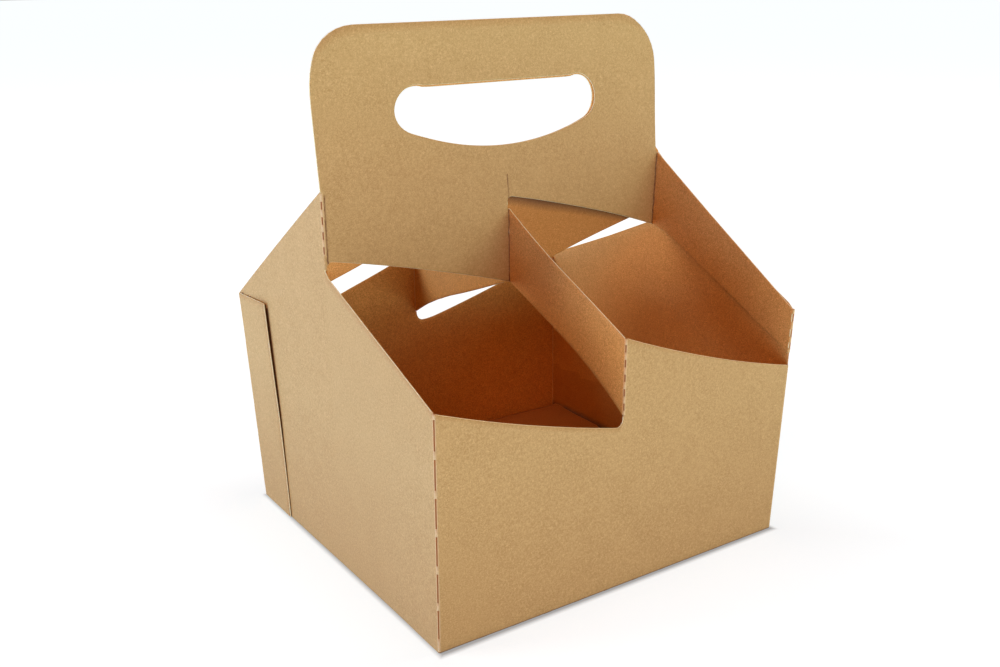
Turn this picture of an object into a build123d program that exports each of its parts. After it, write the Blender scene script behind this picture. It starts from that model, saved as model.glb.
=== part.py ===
"""Cup carrier folded from one sheet of kraft card, in millimetres.

The blank is four tray panels in a row (left end, front, right end, back) with a glue flap.
Three pieces stay joined to them between slanting windows and fold up from the same sheet: a handle
ply hinged to each end panel, a middle strap from each ply to the long panel it faces, and an end
strap from each ply to the far corner of that panel. The second half of the blank is the first one
turned half a turn about the upright axis, so the two plies meet back to back as the handle.

Origin: centre of the base. X runs along the front panel, which faces -Y, and Z is up.
"""
from build123d import *
from math import atan2, cos, degrees, sin
import os

# Card
board = 0.6
fold_radius = 0.8 * board
layer_gap = 0.4

# Tray, outside
width = 200.0
depth = 190.0

# Tops of the upright folds, above the table
plain_corner_height = 110.0
window_corner_height = 91.2
strap_corner_height = 119.2
peak_height = 185.5

# Front panel: a scoop on its left half and a falling edge on its right half
middle_height = 122.5
scoop_low_height = 81.0
scoop_corner_radius = 4.0
scoop_sag = 1.7
falling_edge_sag = 1.8

# End panel: its low slope starts at the window below the handle's hinge, this far under the peak
hinge_window_drop = 37.5

# Handle ply: its rise over the peak, and how far its lower corners are under the peak
handle_rise = 71.9
handle_corner_radius = 24.0
handle_inset = 1.5
handle_root_radius = 1.0
ply_hinge_low_drop = 31.6
ply_hinge_corner_radius = 2.4
ply_middle_low_drop = 56.9
ply_window_drop = 12.8
ply_window_corner_radius = 2.7
ply_strap_low_drop = 39.0
ply_edge_rise = 1.6

# Hand hole: a straight top below the handle's, round ends and a belly that hangs below them
grip_top_drop = 27.4
grip_depth = 31.3
grip_end_radius = 11.7
grip_end_spacing = 91.4

# Middle strap: its low front corner stands over the scoop's low point, and each long edge bends once
# off the straight line between its ends
strap_top_root_drop = 18.5
strap_low_front_rise = 5.5
strap_bend_distance = 26.0
strap_top_bend_sag = 3.0
strap_low_bend_rise = 4.4
strap_bend_radius = 40.0

# End strap: height of the fold where it turns back, down from the corner's top
end_strap_turn_height = 22.1
end_strap_low_rise = 1.0

# Glue flap
flap_top_width = 28.0
flap_low_width = 31.0
flap_top_drop = 1.0
flap_top_slant = 3.0

# Bottom flaps
flap_clearance = 1.5
end_flap_reach = 62.0
end_flap_tip_width = 84.0
lock_reach = 17.0
lock_slope_width = 46.0
lock_gap = 0.5

# Cut creases: slits with bridges of card between them
slit_width = 0.3
slit_depth = 2 * board
long_cut = 13.5
long_bridge = 3.8
short_cut = 3.4
short_bridge = 3.5
long_margin = 5.0
short_margin = 1.2

inner_panel_x = width / 2 - board
end_strap_x = inner_panel_x - layer_gap
handle_edge_x = end_strap_x - handle_inset

hinge_window_height = peak_height - hinge_window_drop
handle_height = peak_height + handle_rise
ply_hinge_low_height = peak_height - ply_hinge_low_drop
ply_middle_low_height = peak_height - ply_middle_low_drop
ply_window_height = peak_height - ply_window_drop
ply_strap_low_height = peak_height - ply_strap_low_drop
strap_top_root_height = peak_height - strap_top_root_drop
grip_top_height = handle_height - grip_top_drop
grip_low_height = grip_top_height - grip_depth
strap_low_front_height = scoop_low_height + strap_low_front_rise
end_strap_corner_low_height = strap_corner_height - end_strap_turn_height


def bowed_edge(start, end, rise):
    """An arc from start to end whose middle stands a rise above the chord, or below it if negative."""
    middle = ((start[0] + end[0]) / 2, (start[1] + end[1]) / 2 + rise)
    return ThreePointArc(start, middle, end)


def slit_middles(low, high, cut, bridge):
    """Middles of as many slits as fit between two ends, one at least, a bridge apart and centred."""
    pitch = cut + bridge
    count = max(int((high - low + bridge) / pitch), 1)
    first = (low + high - (count - 1) * pitch) / 2
    return [first + number * pitch for number in range(count)]


def height_on_line(start, end, distance):
    """Height at a distance across, on the straight line from start to end."""
    return start[1] + (end[1] - start[1]) * (distance - start[0]) / (end[0] - start[0])


# Front panel, between the end panels
with BuildPart() as front_panel:
    with BuildSketch(Plane.XZ.offset(depth / 2)) as front_outline:
        with BuildLine():
            Polyline(
                (-inner_panel_x, plain_corner_height),
                (-inner_panel_x, 0),
                (inner_panel_x, 0),
                (inner_panel_x, window_corner_height),
            )
            bowed_edge((inner_panel_x, window_corner_height), (board, middle_height), -falling_edge_sag)
            Polyline(
                (board, middle_height),
                (board, strap_low_front_height),
                (0, strap_low_front_height),
                (0, scoop_low_height),
            )
            bowed_edge((0, scoop_low_height), (-inner_panel_x, plain_corner_height), -scoop_sag)
        make_face()
        scoop_corner = front_outline.vertices().sort_by_distance((0, scoop_low_height, 0))[0]
        fillet(scoop_corner, scoop_corner_radius)
    extrude(amount=-board)

# Left end panel, with the tray's corner folds and the handle's hinge on its upright edges
with BuildPart() as end_panel:
    with BuildSketch(Plane.YZ.offset(-width / 2)):
        with BuildLine():
            Polyline(
                (-depth / 2, 0),
                (-depth / 2, plain_corner_height),
                (-board, hinge_window_height),
                (-board, peak_height),
                (0, peak_height),
                (depth / 2, strap_corner_height),
                (depth / 2, 0),
                close=True,
            )
        make_face()
    extrude(amount=board)
    outer_face = end_panel.faces().sort_by(Axis.X)[0]
    fillet(outer_face.edges().filter_by(Axis.Z), fold_radius)

# Front handle ply with its hand hole
with BuildPart() as handle_ply:
    with BuildSketch(Plane.XZ) as ply_outline:
        with BuildLine():
            Polyline(
                (-inner_panel_x, ply_hinge_low_height),
                (-inner_panel_x, peak_height),
                (-width / 2, peak_height),
                (-width / 2, handle_height),
                (handle_edge_x, handle_height),
                (handle_edge_x, peak_height),
                (end_strap_x, peak_height),
                (end_strap_x, ply_strap_low_height),
            )
            bowed_edge((end_strap_x, ply_strap_low_height), (board, ply_window_height), ply_edge_rise)
            Polyline(
                (board, ply_window_height),
                (board, ply_middle_low_height),
                (0, ply_middle_low_height),
            )
            bowed_edge((0, ply_middle_low_height), (-inner_panel_x, ply_hinge_low_height), ply_edge_rise)
        make_face()
        rounded_corners = (
            ((-inner_panel_x, ply_hinge_low_height, 0), ply_hinge_corner_radius),
            ((-width / 2, handle_height, 0), handle_corner_radius),
            ((handle_edge_x, handle_height, 0), handle_corner_radius),
            ((handle_edge_x, peak_height, 0), handle_root_radius),
            ((board, ply_window_height, 0), ply_window_corner_radius),
        )
        for corner, radius in rounded_corners:
            fillet(ply_outline.vertices().sort_by_distance(corner)[0], radius)
    extrude(amount=board)
    # The belly's arc touches both end arcs, so its centre is as far from theirs as the radii differ
    grip_end_x = grip_end_spacing / 2
    grip_end_z = grip_top_height - grip_end_radius
    end_drop = grip_end_z - grip_low_height
    belly_radius = (grip_end_x**2 + end_drop**2 - grip_end_radius**2) / (2 * (end_drop - grip_end_radius))
    end_angle = atan2(grip_end_z - grip_low_height - belly_radius, grip_end_x)
    belly_x = grip_end_x + grip_end_radius * cos(end_angle)
    belly_z = grip_end_z + grip_end_radius * sin(end_angle)
    end_sweep = 90 - degrees(end_angle)
    with BuildSketch(Plane.XZ):
        with BuildLine():
            Line((-grip_end_x, grip_top_height), (grip_end_x, grip_top_height))
            CenterArc((grip_end_x, grip_end_z), grip_end_radius, degrees(end_angle), end_sweep)
            ThreePointArc((belly_x, belly_z), (0, grip_low_height), (-belly_x, belly_z))
            CenterArc((-grip_end_x, grip_end_z), grip_end_radius, 90, end_sweep)
        make_face()
    extrude(amount=board, mode=Mode.SUBTRACT)

# Middle strap from the handle ply to the front panel
with BuildPart() as middle_strap:
    top_root = (-board, strap_top_root_height)
    top_front = (-depth / 2, middle_height)
    low_root = (0, ply_middle_low_height)
    low_front = (board - depth / 2, strap_low_front_height)
    top_bend_y = -strap_bend_distance
    low_bend_y = strap_bend_distance - depth / 2
    top_bend = (top_bend_y, height_on_line(top_root, top_front, top_bend_y) - strap_top_bend_sag)
    low_bend = (low_bend_y, height_on_line(low_root, low_front, low_bend_y) + strap_low_bend_rise)
    with BuildSketch(Plane.YZ) as strap_outline:
        with BuildLine():
            Polyline(
                low_root,
                low_bend,
                low_front,
                (-depth / 2, strap_low_front_height),
                top_front,
                top_bend,
                top_root,
                (0, strap_top_root_height),
                close=True,
            )
        make_face()
        for bend in (top_bend, low_bend):
            fillet(strap_outline.vertices().sort_by_distance((*bend, 0))[0], strap_bend_radius)
    extrude(amount=board)
    front_edges = middle_strap.faces().sort_by(Axis.Y)[0].edges().filter_by(Axis.Z)
    fillet(front_edges.sort_by(Axis.X)[0], fold_radius)

# End strap from the handle ply to the front right corner, where it turns back on the end panel
with BuildPart() as end_strap:
    with BuildSketch(Plane.YZ.offset(end_strap_x)):
        with BuildLine():
            Polyline(
                (0, ply_strap_low_height),
                (0, peak_height),
                (-depth / 2, strap_corner_height),
                (-depth / 2, end_strap_corner_low_height),
            )
            bowed_edge(
                (-depth / 2, end_strap_corner_low_height), (0, ply_strap_low_height), end_strap_low_rise
            )
        make_face()
    extrude(amount=-board)
    corner_edges = end_strap.faces().sort_by(Axis.Y)[0].edges().filter_by(Axis.Z)
    fillet(corner_edges.sort_by(Axis.X)[0], fold_radius)
    with BuildSketch(Plane.XZ.offset(depth / 2)):
        with Locations((inner_panel_x, strap_corner_height)):
            Rectangle(
                inner_panel_x - end_strap_x,
                strap_corner_height - end_strap_corner_low_height,
                align=(Align.MAX, Align.MAX),
            )
    extrude(amount=-board)

# Bottom: an end flap below, and above it a long flap that locks into its twin along a slanted step
with BuildPart() as bottom_flaps:
    with BuildSketch(Plane.XY):
        with BuildLine():
            Polyline(
                (-inner_panel_x, -depth / 2 + flap_clearance),
                (-width / 2 + end_flap_reach, -end_flap_tip_width / 2),
                (-width / 2 + end_flap_reach, end_flap_tip_width / 2),
                (-inner_panel_x, depth / 2 - flap_clearance),
                close=True,
            )
        make_face()
    extrude(amount=board)
    with BuildSketch(Plane.XY.offset(board)):
        with BuildLine():
            Polyline(
                (-inner_panel_x, board - depth / 2),
                (inner_panel_x, board - depth / 2),
                (inner_panel_x, -lock_reach - lock_gap / 2),
                (lock_slope_width / 2, -lock_reach - lock_gap / 2),
                (-lock_slope_width / 2, lock_reach - lock_gap / 2),
                (-inner_panel_x, lock_reach - lock_gap / 2),
                close=True,
            )
        make_face()
    extrude(amount=board)

# Glue flap: it leaves the back panel round the corner and lies on the outside of the left end panel
with BuildPart() as glue_flap:
    with BuildSketch(Plane.YZ.offset(-width / 2)):
        with BuildLine():
            Polyline(
                (depth / 2, 0),
                (depth / 2, strap_corner_height - flap_top_drop),
                (depth / 2 - flap_top_width, strap_corner_height - flap_top_drop - flap_top_slant),
                (depth / 2 - flap_low_width, 0),
                close=True,
            )
        make_face()
    extrude(amount=-board)
    with BuildSketch(Plane.YZ.offset(-inner_panel_x)):
        with Locations((depth / 2, 0)):
            Rectangle(board, strap_corner_height - flap_top_drop, align=(Align.MAX, Align.MIN))
    extrude(amount=-2 * board)
    corner_edges = glue_flap.faces().sort_by(Axis.Y)[-1].edges().filter_by(Axis.Z)
    fillet(corner_edges.sort_by(Axis.X)[0], fold_radius)

# Whole carrier: both halves of the blank, the glue flap, and the slits of the cut creases
with BuildPart() as cup_carrier:
    with PolarLocations(0, 2):
        add(front_panel.part)
        add(end_panel.part)
        add(handle_ply.part)
        add(middle_strap.part)
        add(end_strap.part)
        add(bottom_flaps.part)
    add(glue_flap.part)
    tray_slits = slit_middles(long_margin, plain_corner_height, long_cut, long_bridge)
    hinge_slits = slit_middles(
        ply_hinge_low_height + short_margin, peak_height - short_margin, short_cut, short_bridge
    )
    strap_slits = slit_middles(
        strap_low_front_height + short_margin, middle_height - short_margin, short_cut, short_bridge
    )
    turn_slits = slit_middles(
        end_strap_corner_low_height + short_margin,
        strap_corner_height - short_margin,
        short_cut,
        short_bridge,
    )
    base_slits = slit_middles(long_margin - width / 2, width / 2 - long_margin, long_cut, long_bridge)
    turn_x = (end_strap_x - board + width / 2) / 2
    with PolarLocations(0, 2):
        with Locations(*[(-width / 2, -depth / 2, z) for z in tray_slits]):
            Box(2 * slit_depth, slit_width, long_cut, rotation=(0, 0, 45), mode=Mode.SUBTRACT)
        with Locations(*[(-width / 2, -board, z) for z in hinge_slits]):
            Box(2 * slit_depth, slit_width, short_cut, rotation=(0, 0, 45), mode=Mode.SUBTRACT)
        with Locations(*[(0, -depth / 2, z) for z in strap_slits]):
            Box(2 * slit_depth, slit_width, short_cut, rotation=(0, 0, 45), mode=Mode.SUBTRACT)
        with Locations(*[(turn_x, -depth / 2, z) for z in turn_slits]):
            Box(slit_width, 2 * slit_depth, short_cut, mode=Mode.SUBTRACT)
        with Locations(*[(x, -depth / 2, 0) for x in base_slits]):
            Box(long_cut, 2 * slit_depth, slit_width, rotation=(45, 0, 0), mode=Mode.SUBTRACT)

cup_carrier.part.label = "cup_carrier"
os.makedirs("parts", exist_ok=True)
export_step(cup_carrier.part, "parts/cup_carrier.step")
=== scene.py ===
"""Looks of the kraft card cup carrier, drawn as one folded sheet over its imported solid.

The sheet is worked out in millimetres as patches of its middle surface, which are joined along the
folds, settled into the shape that a used carrier takes, and given the thickness of the card. The
second half of the sheet is the first one turned half a turn about the upright axis.
"""
import math

import bpy
import numpy as np
from mathutils import Matrix


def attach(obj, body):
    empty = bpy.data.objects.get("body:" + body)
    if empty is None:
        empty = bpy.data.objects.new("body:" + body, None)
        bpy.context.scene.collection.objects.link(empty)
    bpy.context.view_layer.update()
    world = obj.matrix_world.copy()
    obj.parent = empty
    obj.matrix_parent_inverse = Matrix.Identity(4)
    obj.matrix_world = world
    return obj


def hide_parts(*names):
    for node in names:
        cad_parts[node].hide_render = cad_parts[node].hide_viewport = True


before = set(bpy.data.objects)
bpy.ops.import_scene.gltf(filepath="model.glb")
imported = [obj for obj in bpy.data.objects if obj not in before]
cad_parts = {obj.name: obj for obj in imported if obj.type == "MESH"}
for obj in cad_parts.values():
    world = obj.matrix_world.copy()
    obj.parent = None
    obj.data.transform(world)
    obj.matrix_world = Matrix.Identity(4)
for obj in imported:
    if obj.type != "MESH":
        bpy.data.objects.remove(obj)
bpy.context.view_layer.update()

MM = 0.001

# Card and folds: its thickness, the radius of a fold's middle surface with the degrees of one step
# round it, how far a slit's lips reach in, a narrow strip beside each fold that keeps the panels'
# shading flat, and how far a cut edge bulges
BOARD = 0.6
FOLD = 0.5
FOLD_STEP = 22
LIP = 0.31
SUPPORT = 0.3
EDGE_BULGE = 0.2

# Outside of the tray, and the middle surfaces of its walls
WIDTH = 200.0
DEPTH = 190.0
END_X = WIDTH / 2 - BOARD / 2
LONG_Y = DEPTH / 2 - BOARD / 2
PLY_Y = BOARD / 2
STRAP_X = BOARD / 2
END_STRAP_X = END_X - 2 * FOLD
FLAP_X = END_X + BOARD

# Heights above the table
BASE_Z = BOARD / 2
WALL_Z = BASE_Z + FOLD
PLAIN_CORNER_Z = 110.0
WINDOW_CORNER_Z = 91.2
STRAP_CORNER_Z = 119.2
PEAK_Z = 185.5
HANDLE_Z = PEAK_Z + 71.9

# Front panel
MIDDLE_Z = 122.8
SCOOP_Z = 80.5
SCOOP_CORNER = 4.0
SCOOP_FOOT_Z = SCOOP_Z + 5.0
SCOOP_SAG = 2.1
FALLING_SAG = 2.6
STRAP_FOOT_Z = SCOOP_Z + 5.5
STRAP_FOOT_STEP = 0.6

# Lower edges of the handle ply, and the round ends of the two windows under it
HINGE_FOOT_Z = PEAK_Z - 35.8
HINGE_JOIN_Z = PEAK_Z - 29.5
PLY_HINGE_Z = PEAK_Z - 31.6
PLY_MIDDLE_Z = PEAK_Z - 56.9
PLY_WINDOW_Z = PEAK_Z - 12.8
WINDOW_FOOT_Z = PEAK_Z - 16.6
PLY_STRAP_Z = PEAK_Z - 39.0
PLY_BOW = 1.6
WINDOW_END = 3.3
RELIEF = 0.9

# Where the straight run of an end panel's top would reach the hinge
END_TOP_Z = PEAK_Z - 38.0

# Handle, its hand hole, and the ring of patches round the hole
HANDLE_CORNER = 24.0
HANDLE_EDGE_X = 97.5
HANDLE_ROOT = 2.0
HOLE_TOP_Z = HANDLE_Z - 27.4
HOLE_DEPTH = 32.1
HOLE_END = 11.7
HOLE_SPACING = 91.4
HOLE_DIP = 0.7
RING_X = 66.0
RING_LOW_Z = 192.0
RING_TOP_Z = 241.0
RING_STEP = 3.2
RING_SHARES = (0, 0.06, 0.2, 0.45, 0.72, 1)
SHOULDER_Z = HANDLE_Z - HANDLE_CORNER
SHOULDER_STEP = 6.0

# Straps
STRAP_ROOT_Z = PEAK_Z - 18.5
STRAP_BEND = 26.0
STRAP_TOP_SAG = 2.5
STRAP_LOW_RISE = 4.4
STRAP_ROUND = 9.0
TURN_HEIGHT = 22.1
END_STRAP_RISE = 1.0
END_STRAP_SLACK = (0.8, 1.6)

# Glue flap
FLAP_TOP_Z = STRAP_CORNER_Z - 0.4
FLAP_TOP_WIDTH = 31.2
FLAP_LOW_WIDTH = 33.7
FLAP_RISE = 1.2

# Bottom flaps
FLAP_CLEARANCE = 1.5
FLAP_BOW = 10.8
FLAP_BOW_LEAST = 0.3
FLAP_SIDE_GAP = 2.2
END_FLAP_REACH = 62.0
END_FLAP_TIP = 84.0
LOCK_REACH = 17.0
LOCK_SLOPE = 46.0
LOCK_GAP = 0.5

# How near a wall's middle surface the points of its folds lie
NEAR_FOLD = 0.7

# Shade in the gaps: the height below which the bottom flaps hide the end panels, the distance that
# shades these flaps evenly, how much faster the shade fades beside the glue flap, and no shade at all
GAP_Z = 9.3
FLAP_SHADE = 3.4
FLAP_FADE = 25
FAR = 1000.0

# Settled shape: how far parts of the worn carrier have moved, and how far the slanted tops on its
# right are bent up at some distances from the ply
LEAN_LEFT = 3.2
LEAN_BACK = 2.0
LEAN_RIGHT_END = 0.75
LIFT_RIGHT_END = 0.7
BACK_CORNER_OUT = 5.85
BACK_CORNER_BACK = 1.2
FRONT_CORNER_OUT = 3.1
FRONT_CORNER_FORWARD = 4.1
FRONT_CORNER_DROP = 1.1
NEAR_FOOT_OUT = 0.65
NEAR_FOOT_IN = 0.4
BACK_LIFT = 2.6
BACK_LEFT_DROP = 1.6
BACK_STRAP_LIFT = 1.7
PLY_ASIDE = 1.5
PLY_PULL = 2.0
PLY_GAP = 2.2
PLY_DROP = 1.2
PLY_RISE = 0.022
CREASE_WAVER = 0.16
STRAP_LEAN = 0.8
STRAP_FOOT_LEAN = 0.5
LEFT_SHOULDER_IN = 1.0
RIGHT_EDGE_OUT = 0.8
HOLE_LEFT_OUT = 1.9
BACK_EDGE_HIDDEN = 2.6
BACK_HOLE_LEFT = 1.3
BACK_HOLE_DOWN = 0.9
FLAP_LIFT = 1.4
PANEL_BEND = ([0, 8, 20, 43, 68, 84, 91, 94.7], [0, -1.3, -2.2, -2.4, -1.3, 0.5, 1.5, 0.5])
STRAPS_BEND = ([1, 20, 40, 60, 94], [0, 0.3, 0.6, 1.2, 1.7])
FAR_BEND = ([0, 5, 20, 40, 60, 80, 88, 94], [0, 0.9, 0.7, 0.5, 0.8, 1.3, 1.1, 0])

# Slits of the cut creases
LONG_CUT = 13.5
LONG_BRIDGE = 3.8
SHORT_CUT = 3.4
SHORT_BRIDGE = 3.5
LONG_MARGIN = 5.0
SHORT_MARGIN = 1.2

# Noises of the card: waves per metre, detail and roughness
CLOUD_NOISE = (70, 3, 0.55)
MOTTLE_NOISE = (760, 4, 0.8)
GRAIN_NOISE = (1900, 3, 0.7)
CREASE_NOISE = (450, 2, 0.6)
SPECK_NOISE = (60, 1, 0.5)
EDGE_NOISE = (1200, 3, 0.6)

# Colours of the card, the tints that multiply them, and the floor's and the air's colours
DARK_PULP = (0.45, 0.30, 0.108, 1)
PALE_PULP = (0.74, 0.548, 0.268, 1)
GRAIN = (0.38, 0.235, 0.075, 1)
CLOUD = (0.63, 0.45, 0.2, 1)
# Painted shade that darkens the outside's lowest part, and a painted sheen that pales its highest part
LOW_SHADE_TINT = (0.90, 0.82, 0.75, 1)
HIGH_SHEEN_TINT = (1.06, 1.14, 1.16, 1)
# Painted shade of the tray's inside: the deeper, redder tone of the inner side and the straps, a little
# different over the grain
TRAY_SHADE_TINT = (1.48, 1.13, 0.77, 1)
TRAY_SHADE_GRAIN_TINT = (1.06, 0.78, 0.48, 1)
WIDE_SHADE = (0.36, 0.15, 0.02, 1)
NARROW_SHADE = (0.08, 0.022, 0.003, 1)
WORN_FOLD = (0.85, 0.68, 0.42, 1)
SCUFFED_FOOT = (0.24, 0.12, 0.045, 1)
# Painted shade in the creases between the ply and its straps
CREASE_SHADE = (0.16, 0.065, 0.02, 1)
SPECK = (0.16, 0.075, 0.03, 1)
# Bare pulp of the cut edges, made paler by a painted highlight
BARE_PULP_AND_HIGHLIGHT = (0.80, 0.73, 0.42, 1)
PALE_BARE_PULP_AND_HIGHLIGHT = (0.95, 0.95, 0.66, 1)
# Painted shade inside the slits of the cut folds
SLIT_SHADE = (0.42, 0.20, 0.08, 1)
# Floor glow, dimmer near the carrier by painted shade, and the floor's colour at the contact, darkened as a
# painted shadow
NEAR_SHADED_GLOW = (0.74, 0.85, 0.90, 1)
FAR_GLOW = (0.90, 0.97, 1.0, 1)
FLOOR_WHITE = (0.5, 0.5, 0.5, 1)
CONTACT_SHADOW_TONE = (0.12, 0.1, 0.08, 1)
WARM_AIR = (0.13, 0.055, 0.012, 1)

# The floor's width, half the footprint of the carrier and how far its shade leans, in metres
FLOOR_SIZE = 60.0
HALF_FOOTPRINT = (WIDTH / 2 * MM, DEPTH / 2 * MM, 0)
SHADE_LEAN = (0.0005, -0.0005, 0)

# How fine the patches are
WALL_ROWS = 38
UPPER_ROWS = 24
STRAP_ROWS = 20
FOOT_ROWS = 3
COLUMN = 5.0
TINY = 1e-6


def smooth(value, start, end):
    """Smooth step: 0 before start, 1 after end, and 3t^2 - 2t^3 between them."""
    t = np.clip((np.asarray(value, float) - start) / (end - start), 0, 1)
    return t * t * (3 - 2 * t)


def bell(value, middle, width):
    """A smooth bump: exp(-t^2), where t counts widths from the middle."""
    return np.exp(-(((value - middle) / width) ** 2))


def bowed(x, start, end, rise=0.0):
    """A parabola from start to end whose middle stands a rise above the straight line."""
    t = (x - start[0]) / (end[0] - start[0])
    return start[1] + (end[1] - start[1]) * t + 4 * rise * t * (1 - t)


def slits(low, high, cut, bridge):
    """Ends of as many slits as fit between two marks, a bridge apart and centred between them."""
    pitch = cut + bridge
    count = max(int((high - low + bridge) / pitch), 1)
    first = (low + high - (count - 1) * pitch) / 2
    return [(first + k * pitch - cut / 2, first + k * pitch + cut / 2) for k in range(count)]


def levels(marks, count=0, widest=None):
    """The marks in order, with the widest gap halved until there are enough or none is too wide."""
    marks = sorted(set(marks))
    while len(marks) < count or (widest and max(np.diff(marks)) > widest):
        k = int(np.argmax(np.diff(marks)))
        marks.insert(k + 1, (marks[k] + marks[k + 1]) / 2)
    return np.array(marks)


def ends(pairs):
    """All ends of some slits in one list."""
    return [mark for pair in pairs for mark in pair]


def inside(marks, pairs):
    """Whether the middle of each step between marks lies in a slit."""
    middle = (marks[1:] + marks[:-1]) / 2
    return np.any([(middle > low) & (middle < high) for low, high in pairs], axis=0)


def quarter(count):
    """Steps of 1 - cos from 0 to 1, close together at 0, for columns that draw a round corner."""
    return 1 - np.cos(np.linspace(0, math.pi / 2, count + 1))


def patch(columns, left, right, low=None, top=None):
    """A ruled patch: each row runs straight from a left level to a right level.

    The first and last rows are then bent onto the curves low and top, and the rows between them
    take a share of that bend by their height in the patch. Returns two arrays, across and up.
    """
    across = np.broadcast_to(columns, (len(left), np.shape(columns)[-1])).astype(float)
    t = (across - across[:, :1]) / (across[:, -1:] - across[:, :1])
    up = left[:, None] * (1 - t) + right[:, None] * t
    span = np.where(np.abs(up[-1] - up[0]) < 1e-9, 1, up[-1] - up[0])
    share = (up - up[0]) / span
    if low is not None:
        up = up + (1 - share) * (low - up[0])
    if top is not None:
        share = (up - up[0]) / np.where(np.abs(up[-1] - up[0]) < 1e-9, 1, up[-1] - up[0])
        up = up + share * (top - up[-1])
    return across, up


class Card:
    """The sheet's middle surface, as quads gathered from patches, before the settling."""

    def __init__(self):
        self.quads = []

    def grid(self, x, y, z, flip=False, keep=None):
        """Adds a grid of points as quads, only those that keep marks where it is given."""
        x, y, z = np.broadcast_arrays(x, y, z)
        p = np.stack([x, y, z], axis=-1).astype(float)
        q = np.stack([p[:-1, :-1], p[:-1, 1:], p[1:, 1:], p[1:, :-1]], axis=2)
        if keep is not None:
            q = q[keep]
        q = q.reshape(-1, 4, 3)
        self.quads.append(q[:, ::-1] if flip else q)

    def end_wall(self, x, *rows, **bends):
        """A ruled patch on the upright plane at x, whose columns run along y."""
        across, up = patch(*rows, **bends)
        self.grid(x, across, up, flip=True)

    def long_wall(self, y, *rows, **bends):
        """A ruled patch on the upright plane at y, whose columns run along x."""
        across, up = patch(*rows, **bends)
        self.grid(across, y, up)

    def fold(self, start, centre, outward, sweep, marks, axis, cuts=(), flip=False):
        """A bend about a straight crease: centre + (start - centre) cos a + outward sin a.

        The crease runs along the axis through the marks. Steps in a cut are left open.
        """
        steps = max(int(sweep // FOLD_STEP), 2)
        a = np.radians(np.linspace(0, sweep, steps + 1))[None, :]
        arm = np.array(start, float) - centre
        outward = np.array(outward, float)
        point = [centre[k] + arm[k] * np.cos(a) + outward[k] * np.sin(a) for k in range(3)]
        point = [np.repeat(c, len(marks), axis=0) for c in point]
        point[axis] = np.repeat(marks[:, None], steps + 1, axis=1)
        keep = ~inside(marks, cuts) if len(cuts) else None
        self.grid(*point, flip=flip, keep=keep)

    def lip(self, start, step, marks, axis, cuts):
        """The edge of a panel carried on by a small step, only inside the cuts of a crease."""
        point = [np.array([[start[k], start[k] + step[k]]]).repeat(len(marks), axis=0) for k in range(3)]
        point[axis] = np.repeat(marks[:, None], 2, axis=1)
        self.grid(*point, keep=inside(marks, cuts))


def rounded(x, line, side, radius, foot):
    """A line whose end turns, in a quarter of an ellipse, upright at a side and down or up to a foot."""
    u = np.clip(1 - np.abs(x - side) / radius, 0, 1)
    return line(x) + (foot - line(side)) * (1 - np.sqrt(1 - u**2))


def scoop_edge(x):
    """Top of the front panel's left half: a slack curve that turns up in a round corner at x = 0."""
    return rounded(x, lambda v: bowed(v, (0, SCOOP_Z), (-WIDTH / 2, PLAIN_CORNER_Z), -SCOOP_SAG),
                   0, SCOOP_CORNER, SCOOP_FOOT_Z)


def falling_edge(x):
    """Top of the front panel's right half, from the strap's fold down to the corner."""
    return bowed(x, (FOLD + STRAP_X, MIDDLE_Z), (WIDTH / 2, WINDOW_CORNER_Z), -FALLING_SAG)


def end_edge(y):
    """Top of the end panel's front half, which turns up in a round corner at the hinge."""
    return rounded(y, lambda v: bowed(v, (fold_y, PLAIN_CORNER_Z), (0, END_TOP_Z)),
                   hinge_y, WINDOW_END, HINGE_FOOT_Z)


def ply_left_edge(x):
    """Lower edge of the ply's left half, from the hinge down to the middle strap."""
    return bowed(x, (0, PLY_MIDDLE_Z), (-END_X, PLY_HINGE_Z), PLY_BOW)


def ply_right_edge(x):
    """Lower edge of the ply's right half, from the middle window's end down to the end strap."""
    return bowed(x, (0, PLY_WINDOW_Z), (END_STRAP_X, PLY_STRAP_Z), PLY_BOW)


def strap_edge(y, root, front, bend, rise):
    """A strap's long edge: two straight runs that meet in a bend, which a small bump rounds off."""
    bend_z = np.interp(bend, [front[0], root[0]], [front[1], root[1]]) + rise
    straight = np.interp(y, [front[0], bend, root[0]], [front[1], bend_z, root[1]])
    return straight - rise / 4 * bell(y, bend, STRAP_ROUND)


def hole_side(side, t):
    """Points of the hand hole's outline for t from 0 to 1 on one of its four sides.

    The straight top lies a dip under the tops of its two round ends, which bulge over it like ears.
    The belly is an arc that touches both end arcs.
    """
    end_x = HOLE_SPACING / 2
    end_z = HOLE_TOP_Z - HOLE_END
    low_z = HOLE_TOP_Z - HOLE_DEPTH
    drop = end_z - low_z
    belly = (end_x**2 + drop**2 - HOLE_END**2) / (2 * (drop - HOLE_END))
    turn = math.atan2(end_z - low_z - belly, end_x)
    half = math.atan2(end_x + HOLE_END * math.cos(turn), low_z + belly - end_z - HOLE_END * math.sin(turn))
    if side == "belly":
        a = half * (2 * t - 1)
        return belly * np.sin(a), low_z + belly - belly * np.cos(a)
    if side == "right":
        a = turn + (math.pi / 2 - turn) * t
        return end_x + HOLE_END * np.cos(a), end_z + HOLE_END * np.sin(a)
    if side == "top":
        x = end_x * (1 - 2 * t)
        return x, HOLE_TOP_Z - HOLE_DIP * (1 - np.abs(x / end_x) ** 24)
    a = math.pi / 2 + (math.pi / 2 - turn) * t
    return -end_x + HOLE_END * np.cos(a), end_z + HOLE_END * np.sin(a)


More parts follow.
